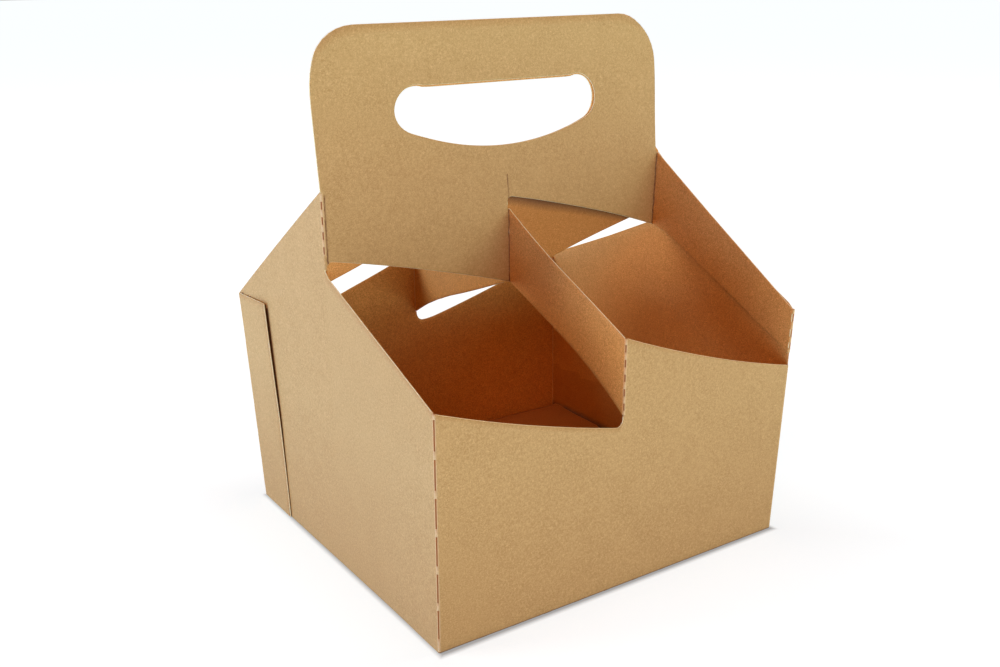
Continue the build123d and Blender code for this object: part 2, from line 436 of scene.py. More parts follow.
# Levels that neighbouring patches share along each fold
corner_cuts = slits(LONG_MARGIN, PLAIN_CORNER_Z, LONG_CUT, LONG_BRIDGE)
window_cuts = slits(LONG_MARGIN, WINDOW_CORNER_Z, LONG_CUT, LONG_BRIDGE)
hinge_cuts = slits(PLY_HINGE_Z, PEAK_Z - SHORT_MARGIN, SHORT_CUT, SHORT_BRIDGE)
strap_cuts = slits(STRAP_FOOT_Z + SHORT_MARGIN, MIDDLE_Z - SHORT_MARGIN, SHORT_CUT, SHORT_BRIDGE)
turn_low = STRAP_CORNER_Z - TURN_HEIGHT
turn_cuts = slits(turn_low + SHORT_MARGIN, STRAP_CORNER_Z - SHORT_MARGIN, SHORT_CUT, SHORT_BRIDGE)
base_cuts = slits(LONG_MARGIN - WIDTH / 2, WIDTH / 2 - LONG_MARGIN, LONG_CUT, LONG_BRIDGE)

wall_foot = [WALL_Z, WALL_Z + SUPPORT]
plain_corner = levels(wall_foot + [PLAIN_CORNER_Z] + ends(corner_cuts), WALL_ROWS)
window_corner = levels(wall_foot + [WINDOW_CORNER_Z] + ends(window_cuts), WALL_ROWS)
front_middle = levels(wall_foot + [SCOOP_FOOT_Z], WALL_ROWS)
hinge_low = levels(wall_foot + [HINGE_FOOT_Z], WALL_ROWS)

# The hinge and the turned strap have a few free rows under the level where ply and strap join them
hinge_foot = np.linspace(HINGE_FOOT_Z, HINGE_JOIN_Z, FOOT_ROWS + 1)[:-1]
hinge = np.append(hinge_foot, levels([HINGE_JOIN_Z, PEAK_Z] + ends(hinge_cuts), UPPER_ROWS - FOOT_ROWS))
turn_foot = np.linspace(WINDOW_CORNER_Z, turn_low, FOOT_ROWS + 1)[:-1]
turn = np.append(turn_foot, levels([turn_low, STRAP_CORNER_Z] + ends(turn_cuts), UPPER_ROWS - FOOT_ROWS))

strap_root = levels([PLY_MIDDLE_Z, STRAP_ROOT_Z - 1.0], STRAP_ROWS)
strap_front = levels([STRAP_FOOT_Z + STRAP_FOOT_STEP, MIDDLE_Z] + ends(strap_cuts), STRAP_ROWS)
crease_right = levels([PLY_STRAP_Z, PEAK_Z], UPPER_ROWS - FOOT_ROWS)

# Columns of the panels
hinge_left = -END_X + FOLD
crease_x = -STRAP_X + 0.1
strap_fold_x = FOLD + STRAP_X
left_round = -WIDTH / 2 + HANDLE_CORNER * quarter(9)
right_round = (HANDLE_EDGE_X - HANDLE_CORNER * quarter(9))[::-1]
hinge_round = hinge_left + WINDOW_END * quarter(6)
window_left = crease_x - RELIEF
window_round = window_left + WINDOW_END * quarter(6)
handle_columns = levels(
    [-WIDTH / 2, hinge_left, window_left - 0.4, HANDLE_EDGE_X, -RING_X, RING_X,
     *left_round, *right_round, *hinge_round, *window_round],
    widest=COLUMN)
scoop_round = -SCOOP_CORNER * quarter(7)
left_base_cuts = [m for m in ends(base_cuts) if hinge_left < m < 0]
right_base_cuts = [m for m in ends(base_cuts) if strap_fold_x + SUPPORT < m < -hinge_left]
half_columns = levels([hinge_left, hinge_left + SUPPORT, 0, *scoop_round, *left_base_cuts], widest=COLUMN)
right_columns = levels(
    [0, strap_fold_x + SUPPORT, -hinge_left - SUPPORT, -hinge_left, *right_base_cuts], widest=COLUMN)
fold_y = -LONG_Y + FOLD
hinge_y = FOLD - PLY_Y
front_half_columns = levels([fold_y, fold_y + SUPPORT, hinge_y - SUPPORT, hinge_y], widest=COLUMN)
back_half_columns = levels([hinge_y, hinge_y + SUPPORT, -fold_y - SUPPORT, -fold_y], widest=COLUMN)
strap_columns = levels([fold_y, fold_y + SUPPORT, -PLY_Y - FOLD - SUPPORT, -PLY_Y - FOLD], widest=COLUMN)


def tray_walls(card):
    """Left end panel and front panel, with the folded corner between them."""
    card.end_wall(-END_X, front_half_columns, plain_corner, hinge_low, top=end_edge(front_half_columns))
    card.end_wall(-END_X, back_half_columns, hinge_low, window_corner)
    high_slope = bowed(back_half_columns, (hinge_y, PEAK_Z), (-fold_y, STRAP_CORNER_Z))
    card.end_wall(-END_X, back_half_columns, hinge, turn, top=high_slope)

    card.long_wall(-LONG_Y, half_columns, plain_corner, front_middle, top=scoop_edge(half_columns))
    card.long_wall(-LONG_Y, right_columns, front_middle, window_corner)

    left = np.concatenate([[SCOOP_FOOT_Z, STRAP_FOOT_Z], strap_front])
    columns = np.broadcast_to(right_columns, (len(left), len(right_columns))).copy()
    columns[left > STRAP_FOOT_Z + STRAP_FOOT_STEP / 2, 0] = strap_fold_x
    t = (columns - columns[:, :1]) / (columns[:, -1:] - columns[:, :1])
    up = left[:, None] * (1 - t) + WINDOW_CORNER_Z * t
    rise = ((left - left[0]) / (left[-1] - left[0]))[:, None]
    up = up + rise * (falling_edge(columns[-1]) - up[-1])
    card.grid(columns, -LONG_Y, up)

    card.fold((-END_X, fold_y, 0), (hinge_left, fold_y, 0), (0, -FOLD, 0), 90, plain_corner, 2, corner_cuts)
    card.lip((-END_X, fold_y, 0), (0, -LIP, 0), plain_corner, 2, corner_cuts)
    card.lip((hinge_left - LIP, -LONG_Y, 0), (LIP, 0, 0), plain_corner, 2, corner_cuts)


def front_right_corner(card):
    """Folded corner under the front right window, which the glue flap takes the place of at the back."""
    marks = window_corner
    card.fold((-hinge_left, -LONG_Y, 0), (-hinge_left, fold_y, 0), (FOLD, 0, 0), 90, marks, 2, window_cuts)
    card.lip((-hinge_left, -LONG_Y, 0), (LIP, 0, 0), marks, 2, window_cuts)
    card.lip((END_X, fold_y - LIP, 0), (0, LIP, 0), marks, 2, window_cuts)


def lower_ply(card):
    """The ply under its peak: between the hinge and the middle strap, and above the far window.

    On the left, the rows run from the hinge's levels to the strap's crease and on up the round side of
    the window, whose columns lean towards it. On the right they run to the end strap's crease.
    """
    y = -PLY_Y
    columns = handle_columns
    near_hinge = columns[(columns > hinge_left - TINY) & (columns < window_left + TINY)]
    past_window = columns[(columns > window_left - TINY) & (columns < HANDLE_EDGE_X + TINY)]
    past_window = np.append(past_window, END_STRAP_X - FOLD)
    roof = rounded(past_window, ply_right_edge, window_left, WINDOW_END, WINDOW_FOOT_Z)

    arc = np.linspace(0.35, 1, 3) * math.pi / 2
    side_z = WINDOW_FOOT_Z - WINDOW_END * np.cos(arc)
    side_x = crease_x + (window_left - crease_x) * np.sin(arc)
    right = np.concatenate([strap_root, side_z])
    right_x = np.concatenate([np.full(len(strap_root), crease_x), side_x])[:, None]
    share = (near_hinge - near_hinge[0]) / (near_hinge[-1] - near_hinge[0])
    near_window = smooth(near_hinge, -12, window_left)
    columns = near_hinge + (right_x - window_left) * near_window
    floor = rounded(columns[0], ply_left_edge, hinge_left, WINDOW_END, HINGE_FOOT_Z)
    ceiling = HINGE_JOIN_Z + (WINDOW_FOOT_Z - HINGE_JOIN_Z) * share
    rise = (right - right[0]) / (right[-1] - right[0])
    up = floor + (ceiling - floor) * rise[:, None]
    up[:, 0] = HINGE_JOIN_Z
    up[:FOOT_ROWS + 1, 0] = hinge[:FOOT_ROWS + 1]
    card.grid(columns, y, up)

    window_side = levels([WINDOW_FOOT_Z, PEAK_Z], UPPER_ROWS - FOOT_ROWS)
    card.long_wall(y, near_hinge, hinge[FOOT_ROWS:], window_side)
    card.long_wall(y, past_window, window_side, crease_right, low=roof)


def grip(card):
    """The ply above its peak: a plain band, the handle's sides and round corners, and the hand hole.

    The patches round the hole run from its outline to a rectangular ring in fixed shares.
    """
    y = -PLY_Y
    columns = handle_columns
    low = np.array([PEAK_Z, PEAK_Z + 0.8, PEAK_Z + HANDLE_ROOT, (PEAK_Z + RING_LOW_Z) / 2 + 1, RING_LOW_Z])
    card.grid(columns, y, low[:, None])
    widen = np.array([END_STRAP_X - FOLD, HANDLE_EDGE_X + 0.2, HANDLE_EDGE_X + 0.01])
    card.grid(np.stack([np.full(3, HANDLE_EDGE_X), widen], axis=1), y, low[:3, None])

    side = levels([RING_LOW_Z, RING_TOP_Z], widest=RING_STEP)
    top = np.full(len(columns), HANDLE_Z)
    for corner, away in ((-WIDTH / 2 + HANDLE_CORNER, -1), (HANDLE_EDGE_X - HANDLE_CORNER, 1)):
        reach = np.clip((columns - corner) * away, 0, HANDLE_CORNER)
        top = top - HANDLE_CORNER + np.sqrt(HANDLE_CORNER**2 - reach**2)
    cap = levels([RING_TOP_Z, HANDLE_Z], widest=COLUMN)
    left = columns[columns < -RING_X + TINY]
    middle = columns[np.abs(columns) < RING_X + TINY]
    right = columns[columns > RING_X - TINY]
    side_out = np.linspace(RING_LOW_Z, SHOULDER_Z - SHOULDER_STEP, len(side))
    cap_out = np.linspace(SHOULDER_Z - SHOULDER_STEP, SHOULDER_Z, len(cap))
    card.long_wall(y, left, side_out, side)
    card.long_wall(y, left, cap_out, cap, top=top[columns < -RING_X + TINY])
    card.long_wall(y, right, side, side_out)
    card.long_wall(y, right, cap, cap_out, top=top[columns > RING_X - TINY])
    card.grid(middle, y, cap[:, None])

    along = (middle + RING_X) / (2 * RING_X)
    rise = (side - RING_LOW_Z) / (RING_TOP_Z - RING_LOW_Z)
    sides = (
        ("belly", middle, np.full(len(middle), RING_LOW_Z), along),
        ("right", np.full(len(side), RING_X), side, rise),
        ("top", middle[::-1], np.full(len(middle), RING_TOP_Z), (1 - along)[::-1]),
        ("left", np.full(len(side), -RING_X), side[::-1], (1 - rise)[::-1]),
    )
    out = np.array(RING_SHARES, float)[:, None]
    for name, frame_x, frame_z, t in sides:
        hole_x, hole_z = hole_side(name, t)
        card.grid(hole_x + (frame_x - hole_x) * out, y, hole_z + (frame_z - hole_z) * out, flip=True)


def handle_ply(card):
    """Handle ply hinged on the left end panel, whose hinge is cut through by short slits."""
    lower_ply(card)
    grip(card)
    card.fold((-END_X, hinge_y, 0), (hinge_left, hinge_y, 0), (0, -FOLD, 0), 90, hinge, 2, hinge_cuts)
    card.lip((-END_X, hinge_y, 0), (0, -LIP, 0), hinge, 2, hinge_cuts)
    card.lip((hinge_left - LIP, -PLY_Y, 0), (LIP, 0, 0), hinge, 2, hinge_cuts)


def straps(card):
    """Middle strap and end strap, from their creases on the ply to their folds at the front."""
    y = -PLY_Y
    root_y = y - FOLD
    front = (fold_y, MIDDLE_Z)
    top = strap_edge(strap_columns, (root_y, strap_root[-1]), front, -STRAP_BEND, -STRAP_TOP_SAG)
    front = (fold_y, strap_front[0])
    low = strap_edge(strap_columns, (root_y, strap_root[0]), front, STRAP_BEND - DEPTH / 2, STRAP_LOW_RISE)
    strap_x = crease_x + FOLD
    card.end_wall(strap_x, strap_columns, strap_front, strap_root, low=low, top=top)
    card.fold((crease_x, y, 0), (crease_x, root_y, 0), (FOLD, 0, 0), 90, strap_root, 2)
    marks = strap_front
    card.fold((strap_x, fold_y, 0), (strap_x + FOLD, fold_y, 0), (0, -FOLD, 0), 90, marks, 2, strap_cuts)
    card.lip((strap_x, fold_y, 0), (0, -LIP, 0), marks, 2, strap_cuts)
    card.lip((strap_x + FOLD - LIP, -LONG_Y, 0), (LIP, 0, 0), marks, 2, strap_cuts)

    low = bowed(strap_columns, (fold_y, turn_low), (root_y, PLY_STRAP_Z), END_STRAP_RISE)
    share = (strap_columns - fold_y) / (root_y - fold_y)
    rise = END_STRAP_SLACK[0] + END_STRAP_SLACK[1] * share**2
    low = low + rise * smooth(share, 0, 0.12) * (1 - smooth(share, 0.88, 1))
    marks = turn[FOOT_ROWS:]
    strap_x = END_STRAP_X
    card.end_wall(strap_x, strap_columns, marks, crease_right, low=low)
    card.fold((strap_x - FOLD, y, 0), (strap_x - FOLD, root_y, 0), (FOLD, 0, 0), 90, crease_right, 2)
    card.fold((strap_x, fold_y, 0), (strap_x + FOLD, fold_y, 0), (0, -FOLD, 0), 180, marks, 2, turn_cuts)
    card.lip((strap_x, fold_y, 0), (0, -LIP, 0), marks, 2, turn_cuts)
    card.lip((END_X, fold_y - LIP, 0), (0, LIP, 0), marks, 2, turn_cuts)


def bottom_flaps(card):
    """End flap below and long flap above it, each from its fold along the foot of a wall.

    The long flap ends in a slanted lock edge, and rises in a bow that is highest along its outer side.
    """
    columns = np.concatenate([half_columns, right_columns[1:]])
    lock = np.interp(columns, [-LOCK_SLOPE / 2, LOCK_SLOPE / 2], [LOCK_REACH, -LOCK_REACH]) - LOCK_GAP / 2
    reach = levels([0, SUPPORT, 1, 2.5, 5, 10, 20, 35, 55, 80], count=15) / 80
    depth = (lock - fold_y) * reach[:, None]
    outer = FLAP_BOW_LEAST + (1 - FLAP_BOW_LEAST) * smooth(-columns, -20, 55)
    bow = FLAP_BOW * smooth(depth, 0, 4) * (1 - smooth(depth, 45, 92)) * outer
    height = BASE_Z + BOARD * smooth(depth, 0, 2.5) + bow
    narrowed = columns * (1 - FLAP_SIDE_GAP / END_X * smooth(depth, 1, 25))
    card.grid(narrowed, fold_y + depth, height, flip=True)
    for part in (half_columns, right_columns):
        card.fold((0, -LONG_Y, WALL_Z), (0, fold_y, WALL_Z), (0, 0, -FOLD), 90, part, 0, base_cuts)
        card.lip((0, -LONG_Y, WALL_Z), (0, 0, -LIP), part, 0, base_cuts)

    columns = np.concatenate([front_half_columns, back_half_columns[1:]])
    reach = np.linspace(0, 1, 9)[:, None]
    wide = (DEPTH / 2 - FLAP_CLEARANCE) / -fold_y
    narrow = END_FLAP_TIP / 2 / -fold_y
    spread = 1 + (narrow - wide) * reach
    x = hinge_left + (END_FLAP_REACH - BOARD) * reach
    card.grid(x, columns * spread, BASE_Z)
    card.fold((-END_X, 0, WALL_Z), (hinge_left, 0, WALL_Z), (0, 0, -FOLD), 90, columns, 1, flip=True)


def glue_flap(card):
    """Flap that the back panel carries round its corner onto the outside of the left end panel."""
    corner_x = -FLAP_X + FOLD
    columns = levels([0, SUPPORT, 4, FLAP_LOW_WIDTH], widest=COLUMN) / FLAP_LOW_WIDTH
    rows = np.concatenate([window_corner, levels([WINDOW_CORNER_Z, FLAP_TOP_Z], widest=COLUMN)[1:]])
    width = flap_width(rows)[:, None]
    slant = np.interp(rows, [WINDOW_CORNER_Z, FLAP_TOP_Z], [0, FLAP_RISE])[:, None]
    y = -fold_y - width * columns
    card.grid(-FLAP_X, y, rows[:, None] + slant * columns)
    marks = window_corner
    card.fold((corner_x, LONG_Y, 0), (corner_x, -fold_y, 0), (-FOLD, 0, 0), 90, marks, 2, window_cuts)
    card.lip((corner_x, LONG_Y, 0), (-LIP, 0, 0), marks, 2, window_cuts)
    card.lip((-FLAP_X, -fold_y + LIP, 0), (0, -LIP, 0), marks, 2, window_cuts)
    card.grid(np.array([[corner_x, hinge_left]]), LONG_Y, marks[:, None], flip=True)


def shift(x=0.0, y=0.0, z=0.0):
    """A move for each point: three arrays or numbers put together as vectors."""
    return np.stack(np.broadcast_arrays(x, y, z), axis=-1)


def leaning_handle(x, y, z):
    """The handle leans left and back in proportion to its height, and its right end a little more."""
    above = np.clip((z - PEAK_Z) / (HANDLE_Z - PEAK_Z), 0, None)
    to_end = x / (WIDTH / 2)
    return shift(-LEAN_LEFT * above, (LEAN_BACK + LEAN_RIGHT_END * to_end) * above,
                 LIFT_RIGHT_END * to_end * above)


def open_corners(x, y, z):
    """The back left and front right corners stand out, in proportion to height and to the nearness
    of the corner, and the foot of the near corner has moved a little.
    """
    height = z / STRAP_CORNER_Z
    to_back = np.clip(y / LONG_Y, 0, 1)
    to_left = np.clip(-x / END_X, 0, 1)
    move = shift(-BACK_CORNER_OUT * height * to_back * to_left,
                 (0.1 + BACK_CORNER_BACK * height**4) * to_back**4 * to_left**2)
    to_front = np.clip(-y / LONG_Y, 0, 1)
    to_right = np.clip(x / END_X, 0, 1) ** 2
    opened = height * to_front * to_right
    edge = (0.3 + 0.2 * height) * to_front**2 * to_right
    move += shift(FRONT_CORNER_OUT * opened + edge, -FRONT_CORNER_FORWARD * opened,
                  -FRONT_CORNER_DROP * opened)
    to_foot = bell(x, -WIDTH / 2, 30) * bell(y, -DEPTH / 2, 30) * np.clip(1 - z / PLAIN_CORNER_Z, 0, 1)
    return move + shift(-NEAR_FOOT_OUT * to_foot, NEAR_FOOT_IN * to_foot)


def high_back_panel(x, y, z):
    """The back panel stands a little high, least near its left end, and so does its strap's low end."""
    to_back = np.clip(y / LONG_Y, 0, 1)
    inner = 1 - np.clip(np.abs(x) / 95, 0, 1) ** 4
    low_left = smooth(-x, 35, 82) * (1 - smooth(-x, 93, 99))
    lift = (BACK_LIFT * inner - BACK_LEFT_DROP * low_left) * (z / 90) * to_back**2
    strap_foot = to_back * bell(x, 0, 6) * (1 - smooth(z, 94, 116)) * smooth(z, 60, 86)
    return shift(z=lift + BACK_STRAP_LIFT * strap_foot)


def turned_plies(x, y, z):
    """The lower parts of the plies have turned: the front one moves sideways at its two creases, and
    the back one stands off it between them, with its lower edge raised towards the right.
    """
    between = np.abs(x) < END_X - BOARD
    to_front = np.clip(-y / LONG_Y, 0, 1)
    to_back = np.clip(y / LONG_Y, 0, 1)
    near_crease = bell(x, 0, 30) * (1 - smooth(z, 172, 192))
    low = np.clip((PEAK_Z - z) / (PEAK_Z - PLY_STRAP_Z), 0, 1.2)
    aside = PLY_ASIDE * near_crease - PLY_PULL * low * smooth(x, 60, END_STRAP_X - FOLD)
    move = shift((between & (y < 0)) * aside * (1 - to_front))

    back_side = between & (y > 0) & (z > 90)
    turned = (1 - smooth(z, 165, 200)) * (1 - to_back) * (1 - smooth(x, 85, END_STRAP_X))
    raised = PLY_RISE * x - 0.9 * smooth(-x, 65, 88) - 0.7 * bell(x, 22, 12)
    gap = np.sin(math.pi * np.clip(x / END_X, 0, 1)) * (1 - smooth(z, 150, 184))
    drop = PLY_DROP * gap * (1 - smooth(y, 1, 12))
    return move + shift(y=(back_side & (y < 2)) * PLY_GAP * gap, z=back_side * (raised * turned - drop))


def wavy_creases(x, y, z):
    """The straps' creases waver by two sines of the height, and the front strap's fold leans left."""
    waver = CREASE_WAVER * on_strap_creases(shift(x, y, z)) * (np.sin(0.8 * z) + np.sin(2.1 * z + 1))
    to_front = np.clip(-y / LONG_Y, 0, 1)
    lean = STRAP_LEAN + STRAP_FOOT_LEAN * (1 - smooth(z, 86, 122))
    return shift(waver - lean * bell(x, 0, 25) * smooth(z, 55, 84) * to_front**3)


def worn_handle(x, y, z):
    """The handle's outline bends in at the left shoulder and out at the right edge, its hole reaches
    further left, and the back ply doesn't quite line up with the front one: it shows under the
    hole's top and at its right end, and stays hidden at the handle's right edge.
    """
    outline = LEFT_SHOULDER_IN * smooth(-x, 85, 100) * bell(z, 240, 9)
    outline += RIGHT_EDGE_OUT * smooth(x, 80, 97) * bell(z, 228, 20)
    outline -= HOLE_LEFT_OUT * bell(x, -57, 12) * bell(z, 216, 15)
    back_ply = (y > 0) & (z > PEAK_Z)
    aside = BACK_EDGE_HIDDEN * smooth(x, 68, 100) * smooth(z, PEAK_Z, PEAK_Z + 4)
    aside += BACK_HOLE_LEFT * bell(x, 55, 9) * bell(z, 218, 13)
    down = BACK_HOLE_DOWN * bell(z, HOLE_TOP_Z, 5) * (1 - smooth(np.abs(x), 42, 58))
    return shift(outline - back_ply * aside, z=-down * back_ply)


def slack_slopes(x, y, z):
    """The slanted tops of the right end panel and its straps bend up or down, by the bends of the
    tables at their distance from the ply.
    """
    end_slope = bowed(y, (0, PEAK_Z), (fold_y, STRAP_CORNER_Z))
    near_top = smooth(z, end_slope - 14, end_slope) * (x > END_STRAP_X - 0.3)
    near_bend = np.where(x > END_X - 0.25, np.interp(-y, *PANEL_BEND), np.interp(-y, *STRAPS_BEND))
    far_slope = (x > END_X - 0.3) & (y > 0) & (z > 60)
    far_bend = far_slope * np.interp(y, *FAR_BEND) * smooth(z, 60, 130)
    strap_end = (x > END_STRAP_X - 0.4) & (z > WINDOW_CORNER_Z + 3) & (y < 0)
    low_end = strap_end * smooth(-y, 60, 94) * (1 - smooth(z, 98, 108))
    return shift(z=near_top * near_bend + far_bend + low_end)


def lifted_flap(x, y, z):
    """The glue flap stands off its panel, in proportion to the distance from its fold and most at
    the top.
    """
    flap = x < -END_X - 0.3
    off = np.clip((-fold_y - y) / FLAP_LOW_WIDTH, 0, 1)
    return shift(-FLAP_LIFT * flap * off * (0.2 + 0.8 * smooth(z, 10, FLAP_TOP_Z)))


def settle(p):
    """Moves the ideal sheet into the shape that the photographed one has taken, in millimetres.

    Each habit of the worn carrier gives a move from the ideal place of a point, and they add up.
    The numbers in its smooth steps and bumps are places and widths on the carrier.
    """
    habits = (leaning_handle, open_corners, high_back_panel, turned_plies, wavy_creases, worn_handle,
              slack_slopes, lifted_flap)
    return p + sum(habit(*p.T) for habit in habits)


def on_cut_folds(p):
    """1 at points on a fold that slits cut through and 0 elsewhere."""
    x, y, z = np.abs(p).T
    at_wall = y > LONG_Y - NEAR_FOLD
    at_end = x > END_X - NEAR_FOLD
    at_hinge = at_end & (y < 0.45) & (z > HINGE_JOIN_Z) & (z < PEAK_Z)
    at_strap = (x < 1) & at_wall & (z > STRAP_FOOT_Z)
    return ((at_end & at_wall) | at_hinge | at_strap | ((z < 1) & at_wall)).astype(float)


def on_base_folds(p):
    """1 at points on the fold along a long wall's foot, where the carrier is scuffed, and 0 elsewhere."""
    x, y, z = np.abs(p).T
    return ((z < 1) & (y > LONG_Y - NEAR_FOLD)).astype(float)


def on_strap_creases(p):
    """1 at points on the creases between a ply and its straps, which have no slits, and 0 elsewhere."""
    x, y, z = np.abs(p).T
    at_ply = (y > 0.2) & (y < 0.9) & (z < PEAK_Z - 2) & (z > PLY_MIDDLE_Z - 1)
    at_crease = (x < 0.35) | ((x > END_STRAP_X - 0.55) & (x < END_STRAP_X + 0.05) & (z > PLY_STRAP_Z - 1))
    return (at_ply & at_crease).astype(float)


def on_straps(p):
    """1 at points of the four straps between their folds, which take the painted shade of the tray's
    inside, and 0 elsewhere.
    """
    x, y, z = np.abs(p).T
    straps = (x < 1) | ((x > END_STRAP_X - 0.2) & (x < END_STRAP_X + 0.2) & (z > WINDOW_CORNER_Z))
    return (straps & (y > NEAR_FOLD) & (y < LONG_Y - 0.3) & (z > STRAP_FOOT_Z - 1)).astype(float)


def flap_width(z):
    """Width of the glue flap at a height: even in its lower half, and narrower towards its top."""
    return np.interp(z, [FLAP_TOP_Z / 2, FLAP_TOP_Z], [FLAP_LOW_WIDTH, FLAP_TOP_WIDTH])


def from_flap(p):
    """How far points of the left end panel's outside are from the glue flap's edge, in metres.

    It is multiplied, so that the shade beside the edge is narrow, and negative behind the flap.
    """
    x, y, z = p.T
    behind = (x < -END_X + 0.05) & (x > -END_X - 0.05) & (y > 30) & (z < FLAP_TOP_Z + 0.5)
    return MM * np.where(behind, FLAP_FADE * (-fold_y - flap_width(z) - y), FAR)


def from_gaps(p):
    """How far points of the sheet's inner side are from a gap that no light reaches, in metres.

    On the back ply it is the depth below the front ply's edge, on the end panels the height above the
    sides of the bottom flaps, and on these flaps a small fixed distance. Points elsewhere are far away.
    """
    x, y, z = p.T
    under_ply = ply_right_edge(x) - z
    back_ply = (y > 0.2) & (y < 0.6) & (x > 0.5) & (x < END_STRAP_X) & (z < PEAK_Z - 5)
    end_foot = (np.abs(x) > END_X - 0.1) & (z < 40)
    flap = (z < 14) & (np.abs(x) < END_X - 1) & (np.abs(y) < LONG_Y - 1)
    return MM * np.select([back_ply, end_foot, flap], [under_ply, z - GAP_Z, FLAP_SHADE], FAR)


def middle_surface():
    """Points and triangles of the ideal middle surface: two turned halves and the single corners."""
    half = Card()
    tray_walls(half)
    handle_ply(half)
    straps(half)
    bottom_flaps(half)
    quads = np.concatenate(half.quads)
    turned = quads * np.array([-1, -1, 1])
    single = Card()
    front_right_corner(single)
    glue_flap(single)
    corners = np.concatenate([quads, turned] + single.quads).reshape(-1, 3)
    _, first, index = np.unique(np.round(corners, 3), axis=0, return_index=True, return_inverse=True)
    index = index.reshape(-1, 4)
    tris = np.concatenate([index[:, [0, 1, 2]], index[:, [0, 2, 3]]])
    whole = (tris[:, 0] != tris[:, 1]) & (tris[:, 1] != tris[:, 2]) & (tris[:, 2] != tris[:, 0])
    return corners[first], tris[whole]


def gathered(points, corners, vectors):
    """Vectors added up at the points that they belong to, and brought to length 1."""
    total = np.zeros_like(points)
    for corner, vector in zip(corners, vectors):
        np.add.at(total, corner, vector)
    return total / np.maximum(np.linalg.norm(total, axis=1), 1e-9)[:, None]


def sheet_mesh():
    """The whole sheet as one closed mesh.

    The two faces stand half the card's thickness off the middle surface. Along its rim, the cut edges
    join them over a crest, which bulges out a little and is flat inside the slits.
    Returns its points, its triangles, which of these are cut edges, and for each point five values:
    whether it is on a fold with slits, on the fold at a long wall's foot and on a strap's crease,
    how much of the painted shade of the tray's inside it takes, and how far away the nearest gap is.
    """
    flat, tris = middle_surface()
    points = settle(flat)
    side_a = points[tris[:, 1]] - points[tris[:, 0]]
    side_b = points[tris[:, 2]] - points[tris[:, 0]]
    across = np.cross(side_a, side_b)
    length = np.linalg.norm(across, axis=1)
    across = across / np.maximum(length, 1e-9)[:, None] * np.sqrt(length)[:, None]
    normal = gathered(points, tris.T, [across] * 3)

    count = len(points)
    edges = np.concatenate([tris[:, [0, 1]], tris[:, [1, 2]], tris[:, [2, 0]]])
    forward = edges[:, 0] * count + edges[:, 1]
    backward = edges[:, 1] * count + edges[:, 0]
    rim = edges[~np.isin(forward, backward)]
    if len(np.unique(forward)) != len(forward):
        raise ValueError("two patches of the sheet face opposite ways along a shared edge")
    outer = points + normal * BOARD / 2
    inner = points - normal * BOARD / 2

    folded = on_cut_folds(flat)
    along = points[rim[:, 1]] - points[rim[:, 0]]
    away = gathered(points, rim.T, [np.cross(along, normal[end]) for end in rim.T])
    on_rim = np.unique(rim)
    crest = (points + away * (EDGE_BULGE * (1 - folded))[:, None])[on_rim]
    place = np.zeros(count, int)
    place[on_rim] = 2 * count + np.arange(len(on_rim))
    tris = [tris, tris[:, ::-1] + count]
    for near, far in ((rim, place[rim]), (place[rim], rim + count)):
        tris.append(np.stack([near[:, 1], near[:, 0], far[:, 0]], axis=1))
        tris.append(np.stack([near[:, 1], far[:, 0], far[:, 1]], axis=1))
    tris = np.concatenate(tris)
    cut = np.zeros(len(tris), bool)
    cut[-4 * len(rim):] = True
    behind = count + len(on_rim)
    shares = {
        "on_cut_fold": np.concatenate([folded, folded, folded[on_rim]]),
        "on_base_fold": np.concatenate([on_base_folds(flat), np.zeros(behind)]),
        "on_strap_crease": np.concatenate([on_strap_creases(flat), np.zeros(behind)]),
        "painted_tray_shade": np.concatenate([on_straps(flat), np.ones(behind)]),
        "from_gap": np.concatenate([from_flap(flat), from_gaps(flat), np.full(len(on_rim), FAR * MM)]),
    }
    return np.concatenate([outer, inner, crest]), tris, cut, shares


def build_carrier():
    """The sheet as a Blender object with a kraft face and a cut edge, which a painted highlight makes pale.
    """
    points, tris, cut, shares = sheet_mesh()
    mesh = bpy.data.meshes.new("cup_carrier_sheet")
    mesh.vertices.add(len(points))
    mesh.vertices.foreach_set("co", (points * MM).astype(np.float32).ravel())
    mesh.loops.add(3 * len(tris))
    mesh.loops.foreach_set("vertex_index", tris.astype(np.int32).ravel())
    mesh.polygons.add(len(tris))
    mesh.polygons.foreach_set("loop_start", np.arange(0, 3 * len(tris), 3, dtype=np.int32))
    mesh.polygons.foreach_set("material_index", cut.astype(np.int32))
    mesh.polygons.foreach_set("use_smooth", ~cut)
    mesh.update(calc_edges=True)
    mesh.validate()
    for name, share in shares.items():
        mesh.attributes.new(name, "FLOAT", "POINT").data.foreach_set("value", share.astype(np.float32))
    piece = bpy.data.objects.new("cup_carrier_sheet", mesh)
    bpy.context.scene.collection.objects.link(piece)
    return piece


